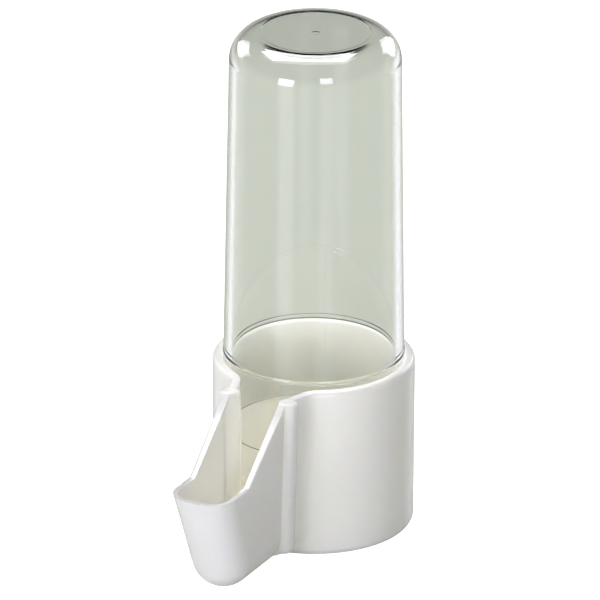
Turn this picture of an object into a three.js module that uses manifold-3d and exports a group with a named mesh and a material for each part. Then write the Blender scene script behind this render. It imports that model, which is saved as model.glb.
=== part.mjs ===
// A bird siphon drinker: a clear reservoir tube standing mouth down in a white moulded base with a spout.
// Millimetres, +Z up. The cup's axis is Z, its underside stands on Z = 0 and the spout points along -Y.

import * as THREE from 'three';
import { mergeVertices } from 'three/addons/utils/BufferGeometryUtils.js';
import Module from 'manifold-3d';

// The cup
const CUP_RADIUS = 26;
const CUP_HEIGHT = 45.6;
const CUP_WALL = 2.8;
const CUP_TAPER = 0.2; // how much slimmer the outside is at the foot
const BORE_TAPER = 0.5; // how much narrower the bore is at the floor
const FOOT_ROUNDING = 2;
const FLOOR_ROUNDING = 2.5; // inside, between the floor and the walls
const RIM_OUTER_ROUNDING = 0.7;
const RIM_INNER_ROUNDING = 0.8;

// The spout, measured forward from the cup's axis
const PLATE_THICKNESS = 1.95; // side plates, webs and the spout's floor
const SPOUT_LIFT = 0.7; // the spout's underside above the table
const SPOUT_REACH = 67.3; // to the front of the lip
const SPOUT_HALF_WIDTH = 8.5; // at the lip's height
const SPOUT_DRAFT = THREE.MathUtils.degToRad(1.4); // the side plates lean out from bottom to top
const NOSE_RADIUS = 7; // the lip's two front corners seen from above
const NOSE_LEAN = THREE.MathUtils.degToRad(22); // the front wall leans out from bottom to lip
const LIP_HEIGHT = 29.6;
const LIP_LENGTH = 14.8; // the level part of the lip, back from the front
const LIP_WALL = 1.5; // the side plates thin out towards the nose
const SLOPE_REACH = 34.2; // where the side plates begin to slope down to the lip

// The webs that flare out from the side plates to the cup, and the pillars that the cage bars snap behind
const WEB_DROP = 0.15; // the webs' top edge below the rim
const WEB_ANGLE = THREE.MathUtils.degToRad(32); // where a web leaves the cup, round from the spout
const WEB_BLEND = 3; // length of the web's curved start, along the cup's tangent
const WEB_REACH = 30.2; // where the webs end and the side plates begin
const PILLAR_REACH = 30.65;
const PILLAR_RADIUS = 2.6;
const PILLAR_INSET = 0.85; // the pillar's centre inside the plate's outer face
const PILLAR_FOOT = 3;
const PILLAR_FOOT_ROUNDING = 2.2;
const PILLAR_TOP_ROUNDING = 0.9;

// The reservoir tube
const TUBE_TOP = 134.85;
const TUBE_TOP_RADIUS = 22.1; // outside, where the dome begins
const TUBE_WALL = 1.8; // at the top of the straight wall
const TUBE_CROWN = 2; // thickness under the top disc
const DOME_RADIUS = 7.8;
const DISC_LAND = 0.1; // the narrow ring round the sunk disc
const DISC_DEPTH = 0.4;
const GATE_RADIUS = 1.1; // the moulding gate's mark in the middle of the disc
const GATE_HEIGHT = 0.2;
const NECK_LENGTH = 19.7; // how far the neck goes down below the rim
const NECK_WALL = 1.2;
const SHOULDER_STEP = 0.5; // the tube's body outside its neck
const SHOULDER_LIFT = 0.6; // the shoulder above the rim when the tapered neck is home in the bore

// Clearance between the tube's neck and the cup's bore, all round
const NECK_CLEARANCE = 0.3;

// Smoothness
const TURN_STEPS = 72;
const PILLAR_STEPS = 20;
const CORNER_STEPS = 6;
const ROUND_STEPS = 7; // up the round underside of the spout
const ROUND_LIMIT = 0.99; // keeps a narrow flat along the bottom of that round

const wasm = await Module();
wasm.setup();

// Points of an arc from one angle to another, both ends included
function arc(centreX, centreY, radius, fromAngle, toAngle, steps = CORNER_STEPS) {
  const points = [];
  for (let i = 0; i <= steps; i += 1) {
    const angle = fromAngle + ((toAngle - fromAngle) * i) / steps;
    points.push(new THREE.Vector2(centreX + radius * Math.cos(angle), centreY + radius * Math.sin(angle)));
  }
  return points;
}

const point = (x, y) => new THREE.Vector2(x, y);
const QUARTER = Math.PI / 2;

// A closed geometry as a solid for joining and cutting, turned face out
function solidFrom(geometry) {
  const bare = geometry.clone();
  bare.deleteAttribute('normal');
  bare.deleteAttribute('uv');
  const merged = mergeVertices(bare, 1e-4);
  const positions = merged.getAttribute('position').array;
  const corners = merged.getIndex().array;
  const triangles = [];
  let volume = 0;
  const a = new THREE.Vector3();
  const b = new THREE.Vector3();
  const c = new THREE.Vector3();
  for (let i = 0; i < corners.length; i += 3) {
    const [p, q, r] = [corners[i], corners[i + 1], corners[i + 2]];
    if (p === q || q === r || r === p) continue;
    triangles.push([p, q, r]);
    a.fromArray(positions, p * 3);
    b.fromArray(positions, q * 3);
    c.fromArray(positions, r * 3);
    volume += a.dot(b.cross(c));
  }
  const facingOut = volume > 0 ? triangles : triangles.map(([p, q, r]) => [p, r, q]);
  return new wasm.Manifold(new wasm.Mesh({
    numProp: 3,
    vertProperties: new Float32Array(positions),
    triVerts: new Uint32Array(facingOut.flat()),
  }));
}

// A finished solid as a named mesh
function meshFrom(solid, name, material) {
  const result = solid.getMesh();
  const geometry = new THREE.BufferGeometry();
  geometry.setAttribute('position', new THREE.BufferAttribute(new Float32Array(result.vertProperties), 3));
  geometry.setIndex(new THREE.BufferAttribute(new Uint32Array(result.triVerts), 1));
  geometry.computeVertexNormals();
  const mesh = new THREE.Mesh(geometry, material);
  mesh.name = name;
  return mesh;
}

// A profile of radius and height turned about the Z axis
function turned(profile, steps = TURN_STEPS) {
  return new THREE.LatheGeometry(profile, steps).rotateX(QUARTER);
}

// A solid through anticlockwise outlines at rising levels, which all have the same number of points
function stacked(levels, outlineAt) {
  const outlines = levels.map(outlineAt);
  const count = outlines[0].length;
  const positions = outlines.flatMap((outline, level) => outline.flatMap((p) => [p.x, p.y, levels[level]]));
  const triangles = [];
  for (let level = 0; level + 1 < levels.length; level += 1) {
    for (let i = 0; i < count; i += 1) {
      const here = level * count + i;
      const next = level * count + ((i + 1) % count);
      triangles.push(here, next, next + count, here, next + count, here + count);
    }
  }
  const topStart = (levels.length - 1) * count;
  for (const [p, q, r] of THREE.ShapeUtils.triangulateShape(outlines[0], [])) {
    triangles.push(p, r, q);
  }
  for (const [p, q, r] of THREE.ShapeUtils.triangulateShape(outlines[levels.length - 1], [])) {
    triangles.push(topStart + p, topStart + q, topStart + r);
  }
  const geometry = new THREE.BufferGeometry();
  geometry.setAttribute('position', new THREE.Float32BufferAttribute(positions, 3));
  geometry.setIndex(triangles);
  return geometry;
}

// Sizes that follow from the ones above
const floorTop = SPOUT_LIFT + PLATE_THICKNESS;
const rimBore = CUP_RADIUS - CUP_WALL;
const floorBore = rimBore - BORE_TAPER;
const boreTop = CUP_HEIGHT - RIM_INNER_ROUNDING;
const boreBottom = floorTop + FLOOR_ROUNDING;
const boreAt = (z) => THREE.MathUtils.mapLinear(z, boreBottom, boreTop, floorBore, rimBore);
const webTop = CUP_HEIGHT - WEB_DROP;
const aboveAll = CUP_HEIGHT + 10;

// The outside of the cup, which stands on its flat underside
function cupOutside() {
  const footRadius = CUP_RADIUS - CUP_TAPER;
  return turned([
    point(0, 0),
    ...arc(footRadius - FOOT_ROUNDING, FOOT_ROUNDING, FOOT_ROUNDING, -QUARTER, 0),
    ...arc(CUP_RADIUS - RIM_OUTER_ROUNDING, CUP_HEIGHT - RIM_OUTER_ROUNDING, RIM_OUTER_ROUNDING, 0, QUARTER),
    point(0, CUP_HEIGHT),
  ]);
}

// The space inside the cup, with a floor level with the spout's and a rounded mouth for the tube's neck
function cupInside() {
  const mouth = rimBore + RIM_INNER_ROUNDING;
  return turned([
    point(0, floorTop),
    ...arc(floorBore - FLOOR_ROUNDING, boreBottom, FLOOR_ROUNDING, -QUARTER, 0),
    ...arc(mouth, boreTop, RIM_INNER_ROUNDING, Math.PI, QUARTER),
    point(mouth, aboveAll),
    point(0, aboveAll),
  ]);
}

// The spout's section at a height: round underneath, then drafted side plates.
// An inset of 0 gives the outside, and an inset of the plate's thickness gives the trough inside it.
function spoutSection(inset) {
  const draft = Math.tan(SPOUT_DRAFT);
  const bottom = SPOUT_LIFT + inset;
  const lipHalf = SPOUT_HALF_WIDTH - inset;
  const round = (lipHalf - (LIP_HEIGHT - bottom) * draft) / (1 - draft);
  const roundTop = bottom + round;
  const lipFront = SPOUT_REACH - inset / Math.cos(NOSE_LEAN);
  const lineAt = (z) => lipFront - (LIP_HEIGHT - z) * Math.tan(NOSE_LEAN);
  const heelCentre = lineAt(bottom) - (round * (1 - Math.sin(NOSE_LEAN))) / Math.cos(NOSE_LEAN);
  const heelTop = bottom + round * (1 - Math.sin(NOSE_LEAN));
  const roundedHalf = (z) => {
    const below = Math.min(roundTop - z, ROUND_LIMIT * round);
    return Math.sqrt(round ** 2 - below ** 2);
  };
  const halfAt = (z) => (z < roundTop ? roundedHalf(z) : lipHalf - (LIP_HEIGHT - z) * draft);
  const thinned = inset > 0 ? (PLATE_THICKNESS - LIP_WALL) / lipHalf : 0;
  const noseHalfAt = (z) => halfAt(z) * (1 + thinned);
  const frontAt = (z) => (z < heelTop ? heelCentre + roundedHalf(z) : lineAt(z));
  const noseAt = (z) => {
    const rise = THREE.MathUtils.clamp((z - roundTop) / (LIP_HEIGHT - roundTop), 0, 1);
    return Math.min(THREE.MathUtils.lerp(round, NOSE_RADIUS - inset, rise), 0.98 * halfAt(z));
  };
  const levelsTo = (top) => {
    const levels = [];
    for (let i = 0; i <= ROUND_STEPS; i += 1) {
      levels.push(roundTop - round * Math.cos((QUARTER * i) / ROUND_STEPS));
    }
    return [...levels, LIP_HEIGHT, top];
  };
  return { halfAt, noseHalfAt, frontAt, noseAt, levelsTo };
}

const outerSection = spoutSection(0);
const innerSection = spoutSection(PLATE_THICKNESS);

// The spout's outside or its trough, from a level line across its back to its rounded nose
function spoutSolid(section, back, top) {
  const outlineAt = (z) => {
    const half = section.halfAt(z);
    const noseHalf = section.noseHalfAt(z);
    const nose = section.noseAt(z);
    const noseCentre = nose - section.frontAt(z);
    return [
      point(-half, -back),
      ...arc(nose - noseHalf, noseCentre, nose, Math.PI, Math.PI + QUARTER),
      ...arc(noseHalf - nose, noseCentre, nose, -QUARTER, 0),
      point(half, -back),
    ];
  };
  return stacked(section.levelsTo(top), outlineAt);
}

// The right-hand web's outer line at its top, seen from above: from the cup, through its bend, to the side plate
const webRadius = CUP_RADIUS - CUP_TAPER - 0.05;
const webStart = point(webRadius * Math.sin(WEB_ANGLE), -webRadius * Math.cos(WEB_ANGLE));
const webBend = point(
  webStart.x - WEB_BLEND * Math.cos(WEB_ANGLE),
  webStart.y - WEB_BLEND * Math.sin(WEB_ANGLE),
);
const webEnd = point(outerSection.halfAt(webTop), -WEB_REACH);

// A block as wide at each height as the section lets it be, from its right-hand line at the webs' top
function flaredBlock(rightLine, section, top) {
  const outlineAt = (z) => {
    const drawnIn = section.halfAt(webTop) - section.halfAt(z);
    const right = rightLine.map((p) => point(p.x - drawnIn, p.y));
    const left = right.map((p) => point(-p.x, p.y));
    return [...left, ...right.reverse()];
  };
  return stacked(section.levelsTo(top), outlineAt);
}

// The two webs and what lies between them, as one block that the passage is then cut through
function webBlock() {
  const halfway = webBend.clone().lerp(webEnd, 0.5);
  const curve = new THREE.QuadraticBezierCurve(webStart, webBend, halfway);
  const insideCup = point(webStart.x, 0.85 * webStart.y);
  return flaredBlock([insideCup, ...curve.getPoints(CORNER_STEPS), webEnd], outerSection, webTop);
}

// The passage from the cup to the trough, which narrows between the webs
function passage() {
  const flare = Math.atan2(webBend.x - webEnd.x, webBend.y - webEnd.y);
  const throat = point(
    innerSection.halfAt(webTop),
    PLATE_THICKNESS * Math.tan(flare / 2) - WEB_REACH,
  );
  const insideY = 0.6 * webStart.y;
  const insideCup = point(throat.x + Math.tan(flare) * (insideY - throat.y), insideY);
  return flaredBlock([insideCup, throat], innerSection, aboveAll);
}

// One cage-bar pillar, round with eased ends, leaning with the side plate
function pillar(side) {
  const foot = PILLAR_FOOT_ROUNDING;
  const top = PILLAR_TOP_ROUNDING;
  const profile = [
    point(0, PILLAR_FOOT),
    ...arc(PILLAR_RADIUS - foot, PILLAR_FOOT + foot, foot, -QUARTER, 0, 4),
    ...arc(PILLAR_RADIUS - top, CUP_HEIGHT - top, top, 0, QUARTER, 3),
    point(0, CUP_HEIGHT),
  ];
  const footOffset = outerSection.halfAt(webTop) - PILLAR_INSET - webTop * Math.tan(SPOUT_DRAFT);
  return turned(profile, PILLAR_STEPS).rotateY(side * SPOUT_DRAFT).translate(side * footOffset, -PILLAR_REACH, 0);
}

// What is cut off above the sloping plates and the level lip, as a side outline swept across the spout
function slopeCut() {
  const slopeTop = -SLOPE_REACH;
  const slopeEnd = -(SPOUT_REACH - LIP_LENGTH);
  const beyond = -(SPOUT_REACH + 30);
  const outline = new THREE.Shape([
    point(slopeTop, webTop),
    point(slopeTop, aboveAll),
    point(beyond, aboveAll),
    point(beyond, LIP_HEIGHT),
    point(slopeEnd, LIP_HEIGHT),
  ]);
  const width = 4 * SPOUT_HALF_WIDTH;
  const geometry = new THREE.ExtrudeGeometry(outline, { depth: width, bevelEnabled: false });
  geometry.translate(0, 0, -width / 2);
  const sideways = new THREE.Matrix4().makeBasis(
    new THREE.Vector3(0, 1, 0),
    new THREE.Vector3(0, 0, 1),
    new THREE.Vector3(1, 0, 0),
  );
  return geometry.applyMatrix4(sideways);
}

// The whole white moulding
function baseSolid() {
  const inWall = Math.sqrt((CUP_RADIUS - CUP_WALL / 2) ** 2 - outerSection.halfAt(webTop) ** 2);
  const outside = solidFrom(cupOutside())
    .add(solidFrom(webBlock()))
    .add(solidFrom(spoutSolid(outerSection, inWall, webTop)));
  const inside = solidFrom(cupInside())
    .add(solidFrom(passage()))
    .add(solidFrom(spoutSolid(innerSection, 0.85 * inWall, aboveAll)));
  return outside
    .subtract(inside)
    .subtract(solidFrom(slopeCut()))
    .add(solidFrom(pillar(-1)))
    .add(solidFrom(pillar(1)));
}

// The clear moulding: down the inside from the crown, round the open end and up the outside
function tubeSolid() {
  const neckBottom = CUP_HEIGHT - NECK_LENGTH;
  const neckRadiusTop = rimBore - NECK_CLEARANCE;
  const neckRadiusBottom = boreAt(neckBottom) - NECK_CLEARANCE;
  const shoulderCentre = CUP_HEIGHT + SHOULDER_LIFT + SHOULDER_STEP;

  const domeStart = TUBE_TOP - DOME_RADIUS;
  const discRadius = TUBE_TOP_RADIUS - DOME_RADIUS - DISC_LAND;
  const discLevel = TUBE_TOP - DISC_DEPTH;
  const innerTop = discLevel - TUBE_CROWN;
  const innerDome = DOME_RADIUS - TUBE_WALL;
  const innerRadiusTop = TUBE_TOP_RADIUS - TUBE_WALL;
  const innerRadiusBottom = neckRadiusBottom - NECK_WALL;
  return solidFrom(turned([
    point(0, innerTop),
    ...arc(innerRadiusTop - innerDome, innerTop - innerDome, innerDome, QUARTER, 0),
    point(innerRadiusBottom, neckBottom),
    point(neckRadiusBottom, neckBottom),
    ...arc(neckRadiusTop, shoulderCentre, SHOULDER_STEP, -QUARTER, 0, 4),
    ...arc(TUBE_TOP_RADIUS - DOME_RADIUS, domeStart, DOME_RADIUS, 0, QUARTER, 8),
    point(discRadius, TUBE_TOP),
    point(discRadius, discLevel),
    point(GATE_RADIUS, discLevel),
    point(GATE_RADIUS, discLevel + GATE_HEIGHT),
    point(0, discLevel + GATE_HEIGHT),
  ]));
}

const whitePlastic = new THREE.MeshStandardMaterial({ color: 0xe9e6dc, roughness: 0.28, metalness: 0 });
const clearPlastic = new THREE.MeshStandardMaterial({
  color: 0xd3d8cc,
  roughness: 0.06,
  metalness: 0,
  transparent: true,
  opacity: 0.35,
});

const drinker = new THREE.Group();
drinker.add(meshFrom(baseSolid(), 'drinker_base', whitePlastic));
drinker.add(meshFrom(tubeSolid(), 'reservoir_tube', clearPlastic));

export default drinker;
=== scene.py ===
"""Looks of a bird siphon drinker: a clear tube standing mouth down in a white base with a drinking spout.

Metres, +Z up. The cup's axis is Z, its underside stands on Z = 0 and the spout points along -Y.
"""

import math

import bmesh
import bpy
from mathutils import Matrix, Vector


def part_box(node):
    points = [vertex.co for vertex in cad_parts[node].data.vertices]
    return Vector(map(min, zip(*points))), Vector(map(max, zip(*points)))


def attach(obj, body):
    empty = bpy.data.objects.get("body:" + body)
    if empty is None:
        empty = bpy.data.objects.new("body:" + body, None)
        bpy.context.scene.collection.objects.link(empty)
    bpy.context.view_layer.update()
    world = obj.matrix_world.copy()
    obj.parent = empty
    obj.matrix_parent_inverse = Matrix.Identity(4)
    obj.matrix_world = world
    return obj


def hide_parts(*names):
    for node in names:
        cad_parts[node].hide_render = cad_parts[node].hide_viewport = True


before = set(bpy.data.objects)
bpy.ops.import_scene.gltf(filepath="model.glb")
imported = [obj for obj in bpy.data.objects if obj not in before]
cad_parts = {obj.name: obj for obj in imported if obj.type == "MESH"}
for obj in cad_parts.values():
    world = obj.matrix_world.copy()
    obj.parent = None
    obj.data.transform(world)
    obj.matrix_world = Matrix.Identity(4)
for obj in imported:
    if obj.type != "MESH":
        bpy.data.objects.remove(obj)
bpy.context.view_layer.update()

base_low, base_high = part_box("drinker_base")
tube_low, tube_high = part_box("reservoir_tube")

MM = 0.001

# The cup
CUP_RADIUS = base_high.x
CUP_HEIGHT = 45.6 * MM
CUP_TAPER = 0.2 * MM  # how much slimmer the outside is at the foot
CUP_BORE = 23.2 * MM  # radius inside the rim
BORE_TAPER = 0.5 * MM  # how much narrower the bore is at the floor
FOOT_ROUNDING = 2.0 * MM
FLOOR_ROUNDING = 2.5 * MM
RIM_OUTER_ROUNDING = 1.5 * MM
RIM_INNER_ROUNDING = 0.8 * MM
ABOVE_RIM = CUP_HEIGHT + 10 * MM  # the top of the bodies that cut the hollows

# The spout, measured forward from the cup's axis
PLATE_THICKNESS = 1.95 * MM
SPOUT_LIFT = 0.7 * MM  # its underside above the table
SPOUT_REACH = -base_low.y
SPOUT_HALF_WIDTH = 8.5 * MM  # at the lip's height
SPOUT_DRAFT = math.radians(1.4)
NOSE_RADIUS = 7.0 * MM
NOSE_LEAN = math.radians(22)
LIP_HEIGHT = 29.6 * MM
LIP_WALL = 1.3 * MM  # the plates thin out towards the nose
LIP_LENGTH = 14.8 * MM
SLOPE_REACH = 33.4 * MM  # where the plates begin to slope down
EDGE_EASE = 0.5 * MM  # the rounding along the top of the plates, the webs and the lip

# The webs and the cage-bar pillars
WEB_TOP = CUP_HEIGHT - 0.15 * MM
WEB_REACH = 30.2 * MM  # where the webs end and the side plates begin
WEB_FLARE = math.radians(18.5)
WEB_BLEND = 1.9 * MM  # how far the blend into the cup's outside runs each way
JAMB_EASE = 3.0 * MM  # the same for the webs' inner corners with the bore
PILLAR_REACH = 31.0 * MM
PILLAR_RADIUS = 2.7 * MM
PILLAR_INSET = 0.45 * MM  # its centre inside the plate's outer face
PILLAR_SWELL = 6.0 * MM  # how far forward it fades into the plate on the side of the water
PILLAR_SEAT = 0.02 * MM  # how deep the end of that fade is sunk in the plate
PILLAR_TOP = CUP_HEIGHT
PILLAR_TOP_ROUNDING = 1.1 * MM
PILLAR_FOOT = 3.4 * MM
PILLAR_FOOT_ROUNDING = 2.2 * MM

# The reservoir tube
TUBE_TOP = tube_high.z
TUBE_FOOT = tube_low.z
TUBE_RADIUS = tube_high.x  # at the shoulder
TUBE_TOP_RADIUS = 22.1 * MM
TUBE_WALL = 1.8 * MM
TUBE_CROWN = 1.9 * MM
DOME_RADIUS = 7.8 * MM
INNER_DOME = 5.7 * MM
DISC_LAND = 0.1 * MM  # between the dome and the edge of the sunk disc on top
DISC_DEPTH = 0.4 * MM
GATE_RADIUS = 1.1 * MM
GATE_DEPTH = 0.2 * MM
NECK_WALL = 1.2 * MM
NECK_CLEARANCE = 0.3 * MM
SHOULDER_STEP = 0.5 * MM
SHOULDER_TALL = 1.5 * MM
SHOULDER_BEAD = 0.2 * MM  # how far the rounded shoulder stands out from the wall above it
SHOULDER_HEIGHT = CUP_HEIGHT + 0.6 * MM
TUBE_EDGE = 0.35 * MM  # the smallest rounding on the tube's moulded edges

# Smoothness
TURN_STEPS = 192
TUBE_STEPS = 256  # a clear wall shows its facets sooner than a white one
CORNER_STEPS = 8
ROUND_STEPS = 20
SHARP_ANGLE = math.radians(38)


def arc(centre_x, centre_y, radius, from_degrees, to_degrees, steps=CORNER_STEPS):
    """Points of an arc from one angle to another, both ends included."""
    points = []
    for i in range(steps + 1):
        angle = math.radians(from_degrees + (to_degrees - from_degrees) * i / steps)
        points.append((centre_x + radius * math.cos(angle), centre_y + radius * math.sin(angle)))
    return points


def between(value, from_low, from_high, to_low, to_high):
    """A value carried over in proportion from one range to another."""
    return to_low + (to_high - to_low) * (value - from_low) / (from_high - from_low)


def object_from(bm, name):
    """A finished mesh as an object in the scene, with its place in its vertices."""
    mesh = bpy.data.meshes.new(name)
    bm.to_mesh(mesh)
    bm.free()
    made = bpy.data.objects.new(name, mesh)
    bpy.context.scene.collection.objects.link(made)
    return made


def turned(name, profile, steps=TURN_STEPS):
    """A closed body: a profile of radius and height, with both ends on the Z axis, spun round it."""
    bm = bmesh.new()
    verts = [bm.verts.new((radius, 0, height)) for radius, height in profile]
    edges = [bm.edges.new(pair) for pair in zip(verts, verts[1:])]
    bmesh.ops.spin(
        bm, geom=verts + edges, cent=(0, 0, 0), axis=(0, 0, 1), angle=math.tau, steps=steps, use_merge=True
    )
    bmesh.ops.remove_doubles(bm, verts=bm.verts, dist=1e-7)
    bmesh.ops.recalc_face_normals(bm, faces=bm.faces)
    return object_from(bm, name)


def lofted(name, levels, outline_at):
    """A closed body through outlines at rising levels, which all have the same number of points."""
    bm = bmesh.new()
    loops = []
    for level in levels:
        verts = [bm.verts.new((x, y, level)) for x, y in outline_at(level)]
        loops.append([bm.edges.new(pair) for pair in zip(verts, verts[1:] + verts[:1])])
    for lower, upper in zip(loops, loops[1:]):
        bmesh.ops.bridge_loops(bm, edges=lower + upper)
    bmesh.ops.edgeloop_fill(bm, edges=loops[0])
    bmesh.ops.edgeloop_fill(bm, edges=loops[-1])
    bmesh.ops.recalc_face_normals(bm, faces=bm.faces)
    return object_from(bm, name)


def put_in_order(mesh):
    """Rebuilds a mesh with its corners and faces sorted by place, each face begun at its outermost corner.

    Joining and cutting leave them in a different order each run, and the steps that follow depend on it.
    """
    old = bmesh.new()
    old.from_mesh(mesh)
    new = bmesh.new()
    corners = {}
    for vert in sorted(old.verts, key=lambda vert: tuple(vert.co)):
        corners[vert] = new.verts.new(vert.co)
    faces = []
    for face in old.faces:
        around = list(face.verts)
        first = around.index(max(around, key=lambda vert: (abs(vert.co.x), *vert.co)))
        faces.append(around[first:] + around[:first])
    for around in sorted(faces, key=lambda around: [tuple(vert.co) for vert in around]):
        new.faces.new([corners[vert] for vert in around])
    new.to_mesh(mesh)
    old.free()
    new.free()


def carve(body, operation, *tools):
    """Joins tools to a body or cuts them from it, for good, and removes the tools."""
    for tool in tools:
        step = body.modifiers.new(tool.name, "BOOLEAN")
        step.operation = operation
        step.solver = "EXACT"
        step.object = tool
    graph = bpy.context.evaluated_depsgraph_get()
    result = bpy.data.meshes.new_from_object(body.evaluated_get(graph))
    put_in_order(result)
    body.modifiers.clear()
    old = body.data
    body.data = result
    bpy.data.meshes.remove(old)
    for tool in tools:
        spent = tool.data
        bpy.data.objects.remove(tool)
        bpy.data.meshes.remove(spent)


# The cup

def rounded_off(radius, past):
    """How far a rounding of this radius has drawn in, at a distance past where it begins."""
    return radius - math.sqrt(radius ** 2 - min(max(past, 0), radius) ** 2)


def wall_radius(height):
    """The cup's outside at a height."""
    rim = CUP_HEIGHT - RIM_OUTER_ROUNDING
    straight = between(height, FOOT_ROUNDING, rim, CUP_RADIUS - CUP_TAPER, CUP_RADIUS)
    drawn_in = rounded_off(FOOT_ROUNDING, FOOT_ROUNDING - height)
    drawn_in += rounded_off(RIM_OUTER_ROUNDING, height - rim)
    return min(max(straight, CUP_RADIUS - CUP_TAPER), CUP_RADIUS) - drawn_in


def bore_radius(height):
    """The cup's bore at a height."""
    low = SPOUT_LIFT + PLATE_THICKNESS + FLOOR_ROUNDING
    rim = CUP_HEIGHT - RIM_INNER_ROUNDING
    straight = between(height, low, rim, CUP_BORE - BORE_TAPER, CUP_BORE)
    flared = rounded_off(RIM_INNER_ROUNDING, height - rim) - rounded_off(FLOOR_ROUNDING, low - height)
    return min(max(straight, CUP_BORE - BORE_TAPER), CUP_BORE) + flared


def cup_outside():
    """The cup as a solid block."""
    foot_radius = CUP_RADIUS - CUP_TAPER
    return turned("cup_outside", [
        (0, 0),
        *arc(foot_radius - FOOT_ROUNDING, FOOT_ROUNDING, FOOT_ROUNDING, -90, 0),
        *arc(CUP_RADIUS - RIM_OUTER_ROUNDING, CUP_HEIGHT - RIM_OUTER_ROUNDING, RIM_OUTER_ROUNDING, 0, 90),
        (0, CUP_HEIGHT),
    ])


def cup_inside():
    """The bore, which is cut from the block."""
    floor = SPOUT_LIFT + PLATE_THICKNESS
    floor_bore = CUP_BORE - BORE_TAPER
    mouth = CUP_BORE + RIM_INNER_ROUNDING
    return turned("cup_inside", [
        (0, floor),
        *arc(floor_bore - FLOOR_ROUNDING, floor + FLOOR_ROUNDING, FLOOR_ROUNDING, -90, 0),
        *arc(mouth, CUP_HEIGHT - RIM_INNER_ROUNDING, RIM_INNER_ROUNDING, 180, 90),
        (mouth, ABOVE_RIM),
        (0, ABOVE_RIM),
    ])


# The spout and its webs

class SpoutSection:
    """The spout's half width, reach and corner radius at a height, outside or inside its wall."""

    def __init__(self, inset):
        draft = math.tan(SPOUT_DRAFT)
        lean = math.sin(NOSE_LEAN)
        self.inset = inset
        self.bottom = SPOUT_LIFT + inset
        self.lip_half = SPOUT_HALF_WIDTH - inset
        self.round = (self.lip_half - (LIP_HEIGHT - self.bottom) * draft) / (1 - draft)
        self.round_top = self.bottom + self.round
        self.lip_front = SPOUT_REACH - min(inset, LIP_WALL) / math.cos(NOSE_LEAN)
        self.heel_top = self.bottom + self.round * (1 - lean)
        self.heel_centre = self.front_line(self.bottom) - self.round * (1 - lean) / math.cos(NOSE_LEAN)

    def front_line(self, height):
        return self.lip_front - (LIP_HEIGHT - height) * math.tan(NOSE_LEAN)

    def rounded_half(self, height):
        """Half the round underside's width, which stops just short of a point at the very bottom."""
        below = min(self.round_top - height, 0.995 * self.round)
        return math.sqrt(self.round ** 2 - below ** 2)

    def half(self, height):
        if height < self.round_top:
            return self.rounded_half(height)
        return self.lip_half - (LIP_HEIGHT - height) * math.tan(SPOUT_DRAFT)

    def front(self, height):
        if height < self.heel_top:
            return self.heel_centre + self.rounded_half(height)
        return self.front_line(height)

    def nose(self, height):
        """The front corners' radius, which always leaves a little of the front straight."""
        rise = min(max(between(height, self.round_top, LIP_HEIGHT, 0, 1), 0), 1)
        wanted = self.round + (NOSE_RADIUS - self.inset - self.round) * rise
        return min(wanted, 0.98 * self.half(height))

    def levels(self, top):
        """Heights up the round underside, and then up the straight plates."""
        levels = []
        for i in range(ROUND_STEPS + 1):
            levels.append(self.round_top - self.round * math.cos(math.pi / 2 * i / ROUND_STEPS))
        for part in (0.25, 0.5, 0.75):
            levels.append(between(part, 0, 1, self.round_top, LIP_HEIGHT))
        levels.append(LIP_HEIGHT)
        for below_rim in (1.5, 1.2, 0.95, 0.8, 0.6, 0.4, 0.25, 0.15, 0.07, 0.0):
            levels.append(CUP_HEIGHT - below_rim * MM)
        return [level for level in levels if level < top - 0.01 * MM] + [top]


outer_section = SpoutSection(0)
inner_section = SpoutSection(PLATE_THICKNESS)


def blended_web(section, height, start_y, circle, blend):
    """The right-hand web's line, curving into a circle round the cup's axis, from the circle forward.

    It meets the circle just under its surface, and its first point is well inside, where it is swallowed.
    """
    along = Vector((math.sin(WEB_FLARE), math.cos(WEB_FLARE)))
    foot = Vector((section.half(height), start_y))
    circle = circle - 0.003 * MM
    half_way = -foot.dot(along)
    corner = foot + along * (half_way - math.sqrt(half_way ** 2 - foot.length_squared + circle ** 2))
    turn = math.atan2(corner.x, -corner.y) + blend / circle
    start = circle * Vector((math.sin(turn), -math.cos(turn)))
    tangent = Vector((-math.cos(turn), -math.sin(turn)))
    reach = (foot - start).cross(along) / tangent.cross(along)
    bend = start + tangent * reach
    end = bend - along * reach
    points = [0.85 * start]
    for i in range(CORNER_STEPS + 1):
        t = i / CORNER_STEPS
        points.append((1 - t) ** 2 * start + 2 * t * (1 - t) * bend + t ** 2 * end)
    points.append(foot)
    return [(point.x, point.y) for point in points]


def mirrored_outline(right):
    """A closed outline from its right-hand half, which runs from the back to the nose."""
    return [*right, *((-x, y) for x, y in reversed(right))]


def nose_corner(section, height):
    """The right-hand front corner, from the side plate to the front, with a thinner wall than at the webs."""
    half = section.half(height)
    if section.inset:
        half += (PLATE_THICKNESS - LIP_WALL) * half / section.lip_half
    nose = section.nose(height)
    return arc(half - nose, nose - section.front(height), nose, 0, -90, 2 * CORNER_STEPS)


def spout_outside():
    """The webs and the spout as one block, from inside the cup to the nose."""
    def outline_at(height):
        web = blended_web(outer_section, height, -WEB_REACH, wall_radius(height), WEB_BLEND)
        return mirrored_outline([*web, *nose_corner(outer_section, height)])

    return lofted("spout_outside", outer_section.levels(WEB_TOP), outline_at)


def spout_inside():
    """The water's way from the cup, between the webs and along the trough."""
    throat_y = PLATE_THICKNESS * math.tan(WEB_FLARE / 2) - WEB_REACH

    def outline_at(height):
        web = blended_web(inner_section, height, throat_y, bore_radius(height), JAMB_EASE)
        return mirrored_outline([*web, *nose_corner(inner_section, height)])

    return lofted("spout_inside", inner_section.levels(ABOVE_RIM), outline_at)


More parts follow.
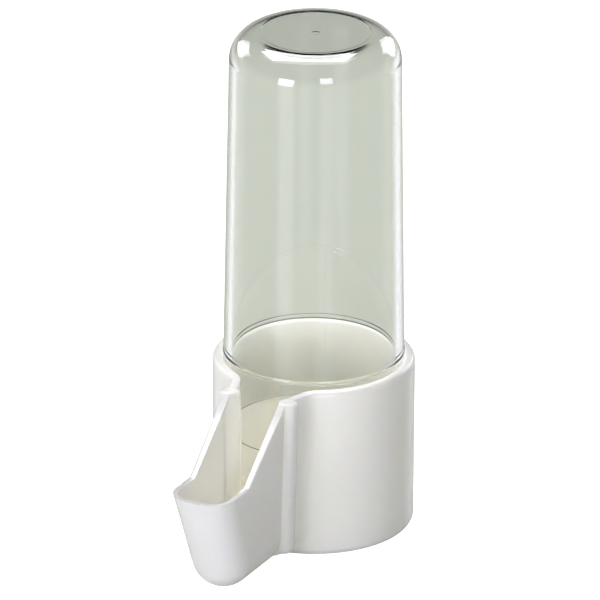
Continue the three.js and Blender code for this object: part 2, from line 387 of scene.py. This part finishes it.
def slope_cut():
    """What is cut off above the sloping plates and the level lip."""
    slope_top = -SLOPE_REACH
    slope_end = -(SPOUT_REACH - LIP_LENGTH)
    beyond = -(SPOUT_REACH + 30 * MM)
    half = 2 * SPOUT_HALF_WIDTH
    side = [
        (slope_top, WEB_TOP),
        (slope_end, LIP_HEIGHT),
        (beyond, LIP_HEIGHT),
        (beyond, ABOVE_RIM),
        (slope_top, ABOVE_RIM),
    ]
    bm = bmesh.new()
    face = bm.faces.new([bm.verts.new((-half, y, z)) for y, z in side])
    swept = bmesh.ops.extrude_face_region(bm, geom=[face])["geom"]
    moved = [item for item in swept if isinstance(item, bmesh.types.BMVert)]
    bmesh.ops.translate(bm, verts=moved, vec=(2 * half, 0, 0))
    bmesh.ops.recalc_face_normals(bm, faces=bm.faces)
    return object_from(bm, "slope_cut")


def pillar(side):
    """One cage-bar pillar, leaning with its side plate and fading softly into it on the water's side."""
    skin = PLATE_THICKNESS - PILLAR_INSET
    foot = PILLAR_FOOT + PILLAR_FOOT_ROUNDING
    shoulder = PILLAR_TOP - PILLAR_TOP_ROUNDING

    def outline_at(height):
        centre = outer_section.half(WEB_TOP) - PILLAR_INSET - (WEB_TOP - height) * math.tan(SPOUT_DRAFT)
        drawn_in = rounded_off(PILLAR_FOOT_ROUNDING, foot - height)
        drawn_in += rounded_off(PILLAR_TOP_ROUNDING, height - shoulder)
        share = 1 - drawn_in / PILLAR_RADIUS
        swell = min(PILLAR_SWELL, max(PILLAR_RADIUS, 0.7 * PILLAR_RADIUS + WEB_TOP - height))
        points = arc(0, 0, PILLAR_RADIUS, -90, 180, 4 * CORNER_STEPS)
        for i in range(1, 2 * CORNER_STEPS + 1):
            t = i / (2 * CORNER_STEPS)
            crest = (PILLAR_RADIUS - skin) * (1 + math.cos(math.pi * t)) / 2
            points.append((PILLAR_SEAT * t - skin - crest, -swell * t))
        return [(side * (centre + share * x), share * y - PILLAR_REACH) for x, y in points]

    levels = [foot - PILLAR_FOOT_ROUNDING * math.cos(math.radians(angle)) for angle in range(0, 91, 15)]
    levels += [between(part, 0, 1, foot, shoulder) for part in (0.3, 0.6, 0.85, 0.92, 0.96)]
    levels += [shoulder + PILLAR_TOP_ROUNDING * math.sin(math.radians(angle)) for angle in range(0, 91, 15)]
    return lofted(f"pillar_{side}", levels, outline_at)


def ease_top_edges(body):
    """Rounds the edges along the top of the webs, the plates and the lip: a side face below a top face."""
    bm = bmesh.new()
    bm.from_mesh(body.data)
    bmesh.ops.remove_doubles(bm, verts=bm.verts, dist=0.005 * MM)
    bmesh.ops.dissolve_limit(bm, angle_limit=math.radians(0.2), verts=bm.verts, edges=bm.edges)
    bm.normal_update()
    top_edges = []
    for edge in bm.edges:
        if len(edge.link_faces) != 2 or edge.calc_face_angle_signed(0) < math.radians(50):
            continue
        up = sorted(face.normal.z for face in edge.link_faces)
        in_front = max(vert.co.y for vert in edge.verts) < -0.5 * CUP_BORE
        if in_front and up[0] < 0.4 and up[1] > 0.6:
            top_edges.append(edge)
    bmesh.ops.bevel(
        bm, geom=top_edges, offset=EDGE_EASE, offset_type="OFFSET", affect="EDGES", segments=3, profile=0.5,
        material=-1, clamp_overlap=True,
    )
    bm.to_mesh(body.data)
    bm.free()


def shade_smooth(body):
    """Smooth shading that keeps the sharp edges and the flat faces."""
    bm = bmesh.new()
    bm.from_mesh(body.data)
    for face in bm.faces:
        face.smooth = True
    for edge in bm.edges:
        edge.smooth = edge.calc_face_angle(0) < SHARP_ANGLE
    bm.to_mesh(body.data)
    bm.free()
    weighted = body.modifiers.new("weighted_normals", "WEIGHTED_NORMAL")
    weighted.keep_sharp = True


def base_moulding():
    """The whole white moulding."""
    base = cup_outside()
    base.name = "base_moulding"
    carve(base, "UNION", spout_outside())
    carve(base, "DIFFERENCE", cup_inside(), spout_inside(), slope_cut())
    ease_top_edges(base)
    carve(base, "UNION", pillar(-1), pillar(1))
    shade_smooth(base)
    return base


# The tube

def tube_moulding():
    """The clear moulding: down the inside from the crown, round the open end and up the outside."""
    neck_top = CUP_BORE - NECK_CLEARANCE
    neck_bottom = bore_radius(TUBE_FOOT) - NECK_CLEARANCE
    inner_bottom = neck_bottom - NECK_WALL
    disc_radius = TUBE_TOP_RADIUS - DOME_RADIUS - DISC_LAND
    disc_top = TUBE_TOP - DISC_DEPTH
    inner_top = TUBE_TOP - TUBE_CROWN
    inner_radius = TUBE_TOP_RADIUS - TUBE_WALL
    shoulder_top = SHOULDER_HEIGHT + SHOULDER_TALL
    bead = []
    for radius, rise in arc(neck_top, 0, SHOULDER_STEP, -90, 53, 12):
        bead.append((radius, between(rise, -SHOULDER_STEP, SHOULDER_STEP, SHOULDER_HEIGHT, shoulder_top)))
    body = turned("tube_moulding", [
        (0, inner_top),
        *arc(inner_radius - INNER_DOME, inner_top - INNER_DOME, INNER_DOME, 90, 0, 24),
        *arc(inner_bottom + TUBE_EDGE, TUBE_FOOT + TUBE_EDGE, TUBE_EDGE, 180, 270, 3),
        *arc(neck_bottom - TUBE_EDGE, TUBE_FOOT + TUBE_EDGE, TUBE_EDGE, -90, 0, 3),
        *bead,
        (TUBE_RADIUS - SHOULDER_BEAD, shoulder_top),
        *arc(TUBE_TOP_RADIUS - DOME_RADIUS, TUBE_TOP - DOME_RADIUS, DOME_RADIUS, 0, 90, 32),
        (disc_radius, TUBE_TOP),
        (disc_radius, disc_top),
        (GATE_RADIUS, disc_top),
        (GATE_RADIUS, disc_top - GATE_DEPTH),
        (0, disc_top - GATE_DEPTH),
    ], steps=TUBE_STEPS)
    for face in body.data.polygons:  # the low wall round the sunk disc takes the second material, which is painted shade
        if face.center.z > disc_top and abs(face.normal.z) < 0.01:
            face.material_index = 1
    shade_smooth(body)
    return body


# Materials

def linear(hex_colour):
    """An sRGB hex colour as the linear values that the shaders take."""
    channels = [int(hex_colour[i:i + 2], 16) / 255 for i in (1, 3, 5)]
    return (*[c / 12.92 if c <= 0.04045 else ((c + 0.055) / 1.055) ** 2.4 for c in channels], 1)


def add_node(tree, kind, settings=None, links=None):
    """Adds a node, sets its own settings and its sockets, and links its inputs."""
    made = tree.nodes.new(kind)
    for name, value in (settings or {}).items():
        if isinstance(name, int) or name in made.inputs:
            made.inputs[name].default_value = value
        else:
            setattr(made, name, value)
    for name, source in (links or {}).items():
        tree.links.new(source, made.inputs[name])
    return made


def new_material(name):
    """An empty material and its node tree."""
    material = bpy.data.materials.new(name)
    material.use_nodes = True
    material.node_tree.nodes.clear()
    return material, material.node_tree


def moulded_white_polystyrene():
    """White polystyrene, injection moulded: a soft gloss over a faintly translucent, slightly warm white.

    The colour and the gloss cloud a little where the melt flowed, over about 9 mm, and the skin has a faint
    peel of about 1.2 mm, drawn coarser than the real one so that it shows.
    """
    material, tree = new_material("moulded_white_polystyrene")
    place = add_node(tree, "ShaderNodeTexCoord").outputs["Object"]
    cloud = add_node(tree, "ShaderNodeTexNoise", {"Scale": 1 / (9 * MM), "Detail": 3.0}, {"Vector": place})
    colour = add_node(tree, "ShaderNodeMixRGB", {
        "Color1": linear("#FEFBF0"), "Color2": linear("#FCF9EC"),
    }, {"Fac": cloud.outputs["Fac"]})
    gloss = add_node(tree, "ShaderNodeMapRange", {"To Min": 0.14, "To Max": 0.22}, {
        "Value": cloud.outputs["Fac"],
    })
    peel = add_node(tree, "ShaderNodeTexNoise", {"Scale": 1 / (1.2 * MM), "Detail": 2.0}, {"Vector": place})
    bump = add_node(tree, "ShaderNodeBump", {"Strength": 0.04, "Distance": 0.02 * MM}, {
        "Height": peel.outputs["Fac"],
    })
    surface = add_node(tree, "ShaderNodeBsdfPrincipled", {
        "IOR": 1.59,
        "Subsurface Weight": 0.7,
        "Subsurface Radius": (1.0, 0.9, 0.7),
        "Subsurface Scale": 3.0 * MM,
    }, {
        "Base Color": colour.outputs["Color"],
        "Roughness": gloss.outputs["Result"],
        "Normal": bump.outputs["Normal"],
    })
    add_node(tree, "ShaderNodeOutputMaterial", links={"Surface": surface.outputs["BSDF"]})
    return material


def moulded_clear_polystyrene():
    """Clear polystyrene, injection moulded: glass-like, with a smoky tint and a ripple from the mould.

    The ripple is about 14 mm long. Lamp light goes through the thin walls almost undimmed, so that the tube
    casts hardly any shadow into the cup.
    """
    material, tree = new_material("moulded_clear_polystyrene")
    place = add_node(tree, "ShaderNodeTexCoord").outputs["Object"]
    ripple = add_node(tree, "ShaderNodeTexNoise", {"Scale": 1 / (14 * MM), "Detail": 1.0}, {"Vector": place})
    bump = add_node(tree, "ShaderNodeBump", {"Strength": 0.03, "Distance": 0.1 * MM}, {
        "Height": ripple.outputs["Fac"],
    })
    surface = add_node(tree, "ShaderNodeBsdfPrincipled", {
        "Base Color": linear("#FCFDFA"),
        "IOR": 1.59,
        "Roughness": 0.01,
        "Transmission Weight": 1.0,
    }, {"Normal": bump.outputs["Normal"]})
    lamp_light = add_node(tree, "ShaderNodeBsdfTransparent", {"Color": linear("#FEFEFD")})
    from_lamps = add_node(tree, "ShaderNodeLightPath").outputs["Is Shadow Ray"]
    passed = add_node(tree, "ShaderNodeMixShader", links={
        0: from_lamps, 1: surface.outputs["BSDF"], 2: lamp_light.outputs["BSDF"],
    })
    add_node(tree, "ShaderNodeOutputMaterial", links={"Surface": passed.outputs["Shader"]})
    return material


def painted_trapped_light_dark():
    """Painted shade for the clear plastic seen edge on: light caught in the thick top comes out bottle green,
    nearly black, and this opaque dark colour is painted in its place.

    It shows as the dark line round the sunk disc, with painted streaks of about 3 mm.
    """
    material, tree = new_material("painted_shade_edge_on_clear_polystyrene")
    place = add_node(tree, "ShaderNodeTexCoord").outputs["Object"]
    streaks = add_node(tree, "ShaderNodeTexNoise", {"Scale": 1 / (3 * MM), "Detail": 2.0}, {"Vector": place})
    # Painted shade: a near-black bottle green stands in for the light trapped in the clear plastic
    colour = add_node(tree, "ShaderNodeMixRGB", {
        "Color1": linear("#16261F"), "Color2": linear("#22362E"),
    }, {"Fac": streaks.outputs["Fac"]})
    surface = add_node(tree, "ShaderNodeBsdfPrincipled", {"IOR": 1.59, "Roughness": 0.2}, {
        "Base Color": colour.outputs["Color"],
    })
    add_node(tree, "ShaderNodeOutputMaterial", links={"Surface": surface.outputs["BSDF"]})
    return material


def white_table():
    """A sheet of white acrylic with a soft gloss, lit from below and bright enough to burn out to white.

    It looks brighter to the camera and in reflections than the light that it throws on the object.
    """
    material, tree = new_material("white_acrylic_table")
    path = add_node(tree, "ShaderNodeLightPath").outputs
    mirrored = add_node(tree, "ShaderNodeMapRange", {"To Min": 0.44, "To Max": 0.04}, {
        "Value": path["Is Diffuse Ray"],
    })
    glow = add_node(tree, "ShaderNodeMath", {"operation": "MULTIPLY_ADD", 1: 1.2}, {
        0: path["Is Camera Ray"], 2: mirrored.outputs["Result"],
    })
    colour = add_node(tree, "ShaderNodeMixRGB", {
        "Color1": linear("#BFC2B2"), "Color2": linear("#C8CACC"),
    }, {"Fac": path["Is Diffuse Ray"]})
    surface = add_node(tree, "ShaderNodeBsdfPrincipled", {
        "Roughness": 0.25,
        "Emission Color": linear("#D0D4D0"),
    }, {"Base Color": colour.outputs["Color"], "Emission Strength": glow.outputs["Value"]})
    add_node(tree, "ShaderNodeOutputMaterial", links={"Surface": surface.outputs["BSDF"]})
    return material


# The camera, as the photograph was taken

VIEW_AZIMUTH = math.radians(27)
VIEW_ELEVATION = math.radians(23.1)
VIEW_ROLL = math.radians(0.3)
VIEW_DISTANCE = 5.0
PIXELS_PER_METRE = 3885
PICTURE_PIXELS = 600
ORIGIN_PIXEL = (312.9, 516.0)  # where the origin of the frame lies in the photograph

towards_camera = Vector((
    math.sin(VIEW_AZIMUTH) * math.cos(VIEW_ELEVATION),
    -math.cos(VIEW_AZIMUTH) * math.cos(VIEW_ELEVATION),
    math.sin(VIEW_ELEVATION),
))


def add_camera():
    """A long lens, far off, that puts the origin where the photograph has it."""
    data = bpy.data.cameras.new("camera")
    data.sensor_width = 36
    data.lens = data.sensor_width * VIEW_DISTANCE / (PICTURE_PIXELS / PIXELS_PER_METRE)
    data.clip_end = 3 * VIEW_DISTANCE
    camera = bpy.data.objects.new("camera", data)
    bpy.context.scene.collection.objects.link(camera)
    turn = (-towards_camera).to_track_quat("-Z", "Y").to_matrix() @ Matrix.Rotation(VIEW_ROLL, 3, "Z")
    right, up = turn.col[0], turn.col[1]
    centre = PICTURE_PIXELS / 2
    target = right * (centre - ORIGIN_PIXEL[0]) / PIXELS_PER_METRE
    target += up * (ORIGIN_PIXEL[1] - centre) / PIXELS_PER_METRE
    camera.matrix_world = Matrix.Translation(target + towards_camera * VIEW_DISTANCE) @ turn.to_4x4()
    bpy.context.scene.camera = camera
    view = bpy.context.scene.view_settings
    view.view_transform = "Standard"
    view.look = "None"


# The studio: softboxes round a white table, placed by their bearing from the camera and their height

LIGHT_DISTANCE = 1.2
AIM_HEIGHT = 0.08
LAMP_COLOUR = linear("#F0EEFF")
WINDOW_COLOUR = linear("#DFE9FF")
WARM_CEILING_COLOUR = linear("#FFFBF2")
PANEL_COLOUR = linear("#F4F5F6")
PANEL_HEIGHT = Vector((0, 0, 1.13))
PANEL_WIDTH = 0.99
CARD_STRENGTH = 38
TABLE_RADIUS = 6.0


def soft_light(name, width, height, strength, colour, place, facing):
    """A rectangular soft light at a place, facing a point."""
    data = bpy.data.lights.new(name, "AREA")
    data.shape = "RECTANGLE"
    data.size = width
    data.size_y = height
    data.energy = strength * width * height
    data.color = colour[:3]
    light = bpy.data.objects.new(name, data)
    light.visible_camera = False
    bpy.context.scene.collection.objects.link(light)
    light.location = place
    light.rotation_euler = (place - facing).to_track_quat("Z", "Y").to_euler()
    return light


def from_camera(bearing, elevation, distance):
    """A place round the object, by its bearing to the right of the camera and its height in degrees."""
    around = VIEW_AZIMUTH + math.radians(bearing)
    rise = math.radians(elevation)
    level = math.cos(rise)
    return distance * Vector((math.sin(around) * level, -math.cos(around) * level, math.sin(rise)))


def softbox(name, bearing, elevation, width, height, strength, colour=LAMP_COLOUR):
    """A soft light on a stand, aimed at the object. Its width and height are the angles that it fills."""
    spans = [2 * LIGHT_DISTANCE * math.tan(math.radians(angle / 2)) for angle in (width, height)]
    middle = Vector((0, 0, AIM_HEIGHT))
    place = middle + from_camera(bearing, elevation, LIGHT_DISTANCE)
    return soft_light(name, *spans, strength, colour, place, middle)


def ceiling_panel(name, place, width, depth, strength):
    """A level soft light under the ceiling, square to the camera."""
    light = soft_light(name, width, depth, strength, PANEL_COLOUR, place, place - Vector((0, 0, 1)))
    light.rotation_euler = (0, 0, VIEW_AZIMUTH)
    return light


def add_lamps():
    """Four softboxes that show in the plastic, wide fills that don't, and a panel under the ceiling."""
    softbox("front_left_softbox", -39, 7, 21, 24, 20)
    softbox("front_right_softbox", 15, 21, 16, 22, 15.5)
    softbox("back_left_softbox", -138, 20, 26, 24, 11)
    softbox("back_right_softbox", 145, 17, 26, 28, 11)
    # The light that comes back from the room is too wide to be seen as a reflection
    for fill in (
        softbox("window_fill", -15, 20, 50, 36, 4.8, WINDOW_COLOUR),
        softbox("top_fill", -27, 42, 45, 30, 4, WARM_CEILING_COLOUR),
    ):
        fill.visible_glossy = False
        fill.visible_transmission = False
    near = from_camera(180, 0, 0.486) + from_camera(-90, 0, 0.135) + PANEL_HEIGHT
    panel = ceiling_panel("ceiling_panel", near, PANEL_WIDTH, 0.57, 9)
    panel.visible_glossy = False
    # The panel's bright face, as the tube's top mirrors it, hangs just under the panel that would hide it
    under = Vector((0, 0, -0.02))
    near_face = near + under + from_camera(0, 0, 0.025)
    far_face = from_camera(180, 0, 0.87) + from_camera(-90, 0, 0.09) + PANEL_HEIGHT + under
    for card in (
        ceiling_panel("ceiling_panel_reflection", near_face, PANEL_WIDTH, 0.62, CARD_STRENGTH),
        ceiling_panel("ceiling_far_reflection", far_face, 0.7, 0.2, CARD_STRENGTH),
    ):
        card.visible_diffuse = False
        card.visible_transmission = False


def add_room():
    """A room that is light near the horizon and dark above, before a white backdrop."""
    world = bpy.data.worlds.new("studio")
    bpy.context.scene.world = world
    world.use_nodes = True
    tree = world.node_tree
    tree.nodes.clear()
    way = add_node(tree, "ShaderNodeSeparateXYZ", links={
        "Vector": add_node(tree, "ShaderNodeTexCoord").outputs["Generated"],
    })
    dimming = add_node(tree, "ShaderNodeMapRange", {
        "From Min": 0.1, "From Max": 0.35, "To Min": 0.45, "To Max": 0.04,
    }, {"Value": way.outputs["Z"]})
    room = add_node(tree, "ShaderNodeBackground", {"Color": linear("#F4F0EC")}, {
        "Strength": dimming.outputs["Result"],
    })
    backdrop = add_node(tree, "ShaderNodeBackground", {"Color": (1, 1, 1, 1), "Strength": 1.0})
    seen = add_node(tree, "ShaderNodeLightPath").outputs["Is Camera Ray"]
    mixed = add_node(tree, "ShaderNodeMixShader", links={
        0: seen, 1: room.outputs["Background"], 2: backdrop.outputs["Background"],
    })
    add_node(tree, "ShaderNodeOutputWorld", links={"Surface": mixed.outputs["Shader"]})


def add_table():
    """The plain floor that the drinker stands on."""
    bm = bmesh.new()
    bmesh.ops.create_circle(bm, cap_ends=True, segments=64, radius=TABLE_RADIUS)
    table = object_from(bm, "table")
    table.data.materials.append(white_table())


base = base_moulding()
base.data.materials.clear()
base.data.materials.append(moulded_white_polystyrene())
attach(base, "base")
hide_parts("drinker_base")

tube = tube_moulding()
tube.data.materials.append(moulded_clear_polystyrene())
# The second material paints the dark line round the sunk disc as shade
tube.data.materials.append(painted_trapped_light_dark())
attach(tube, "reservoir")
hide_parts("reservoir_tube")

add_camera()
add_lamps()
add_room()
add_table()
